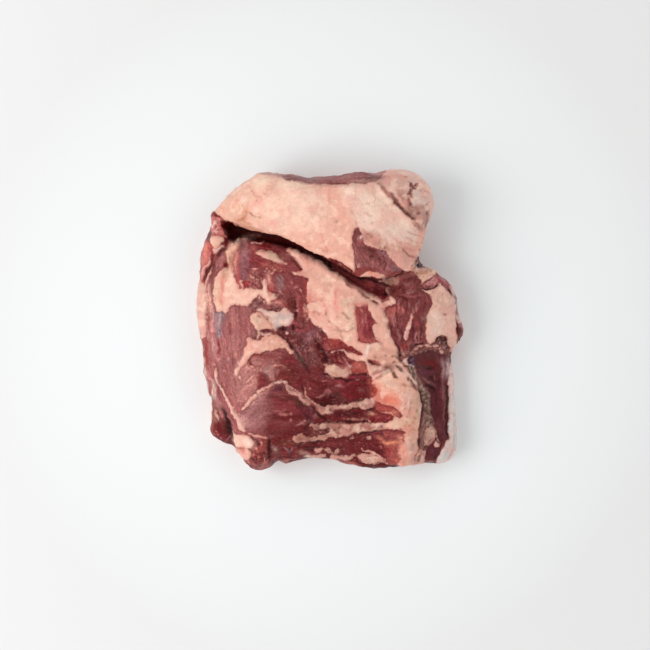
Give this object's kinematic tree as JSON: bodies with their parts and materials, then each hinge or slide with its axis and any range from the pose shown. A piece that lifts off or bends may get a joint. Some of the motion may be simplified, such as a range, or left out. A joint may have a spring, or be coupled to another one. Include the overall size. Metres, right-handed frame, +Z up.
{
  "type": "raw lamb shoulder",
  "caption": "Raw boneless lamb shoulder lying flat, its fat-covered flap folded over one end above a dark gap, with bare muscle, fat and silverskin on the upper side.",
  "frame": {"origin": "on the surface that the meat lies on, under the middle of its box", "axes": "+X towards the loose strip of muscle at the right, +Y towards the folded-over flap, +Z up"},
  "size_m": [0.186, 0.2082, 0.0665],
  "materials": {
    "raw_lamb": null
  },
  "bodies": {
    "root": {"lamb_shoulder": "raw_lamb"}
  },
  "joints": []
}
